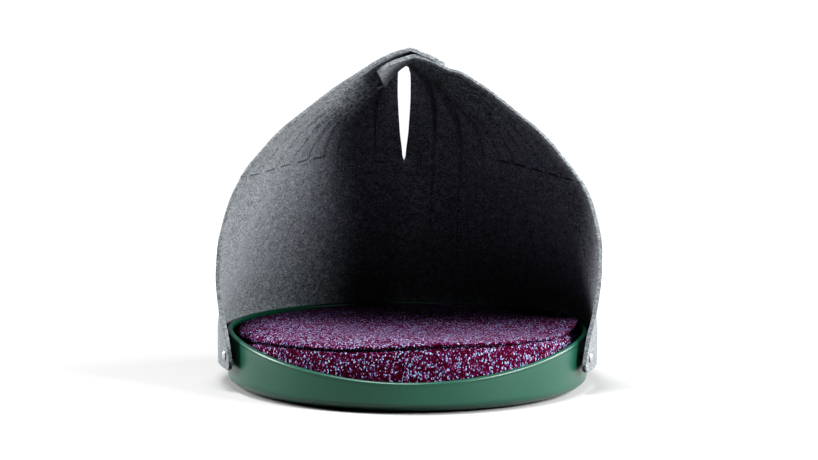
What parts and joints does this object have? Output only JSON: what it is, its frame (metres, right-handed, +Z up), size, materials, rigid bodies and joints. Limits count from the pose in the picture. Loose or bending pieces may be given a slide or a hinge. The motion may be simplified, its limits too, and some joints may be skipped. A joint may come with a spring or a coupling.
{
  "type": "hooded cat bed with felt canopy, cushion and bowl-shaped tray",
  "caption": "Round cat bed: a low bowl-shaped tray with a fitted cushion, under a one-piece felt hood that folds to a peak and is open in front.",
  "frame": {"origin": "centre of the tray's flat underside", "axes": "+Z up, +Y towards the closed back, the open front faces -Y, +X to the right in a view of the open front"},
  "size_m": [0.414, 0.3988, 0.3658],
  "materials": {
    "tray_plastic": "gloss moulded plastic",
    "cushion_fabric": "boucle upholstery cloth with small light flecks",
    "hood_felt": "matt mottled wool felt",
    "stud_metal": "polished metal"
  },
  "bodies": {
    "root": {"tray": "tray_plastic", "cushion": "cushion_fabric", "hood": "hood_felt", "stud_left": "stud_metal", "stud_right": "stud_metal"}
  },
  "joints": []
}
